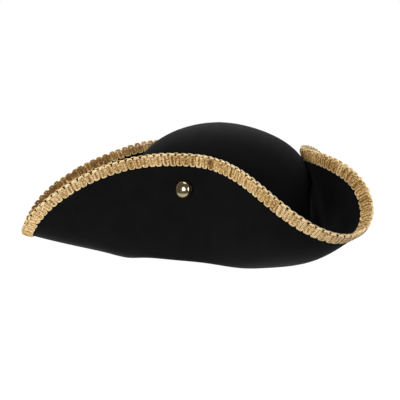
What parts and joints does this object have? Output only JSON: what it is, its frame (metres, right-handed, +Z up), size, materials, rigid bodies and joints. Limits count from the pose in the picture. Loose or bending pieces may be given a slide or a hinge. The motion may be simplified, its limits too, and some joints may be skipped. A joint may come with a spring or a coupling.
{
  "type": "tricorn hat",
  "caption": "Three-cornered felt hat: domed crown, wide brim cocked up in three flaps, gimp braid on both faces of the edge and a domed stud on each flap.",
  "frame": {"origin": "middle of the hat's bounding box in plan, on the plane that it rests on", "axes": "+Z up, -Y towards the front corner, +X towards the side flap seen in the picture"},
  "size_m": [0.3488, 0.3394, 0.1357],
  "materials": {
    "felt": "matt black pressed felt",
    "braid": "pale gold gimp braid",
    "stud": "polished pale antique gold"
  },
  "bodies": {
    "root": {"felt_body": "felt", "outer_braid": "braid", "inner_braid": "braid", "side_stud": "stud", "far_side_stud": "stud", "back_stud": "stud"}
  },
  "joints": []
}
